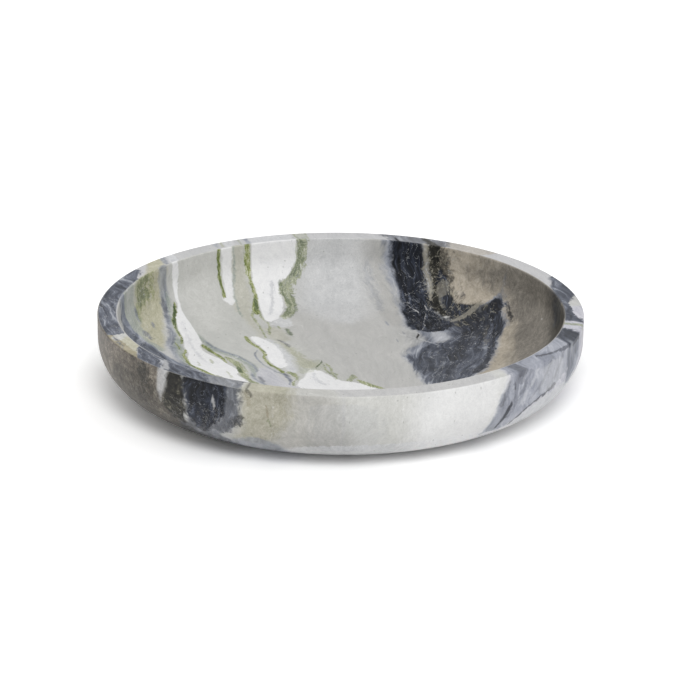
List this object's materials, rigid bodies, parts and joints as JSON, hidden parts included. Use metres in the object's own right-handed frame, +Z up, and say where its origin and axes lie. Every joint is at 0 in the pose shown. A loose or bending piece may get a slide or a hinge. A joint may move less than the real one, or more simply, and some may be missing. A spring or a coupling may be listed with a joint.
{
  "type": "bowl",
  "caption": "Shallow round bowl turned from banded marble, with a flat rim, a straight lip, a rounded lower wall and felt pads under a flat base, for holding fruit or for display.",
  "frame": {"origin": "middle of the plane that the felt pads stand on", "axes": "+Z up along the axis that the bowl was turned about, -Y towards the picture's camera"},
  "size_m": [0.305, 0.305, 0.0508],
  "materials": {
    "marble": "honed, with a low polish",
    "felt": "pressed wool felt",
    "adhesive": "acrylic film"
  },
  "bodies": {
    "root": {"stone_bowl": "marble", "felt_pad_1": "felt", "felt_pad_2": "felt", "felt_pad_3": "felt", "felt_pad_4": "felt", "adhesive_film_1": "adhesive", "adhesive_film_2": "adhesive", "adhesive_film_3": "adhesive", "adhesive_film_4": "adhesive"}
  },
  "joints": []
}
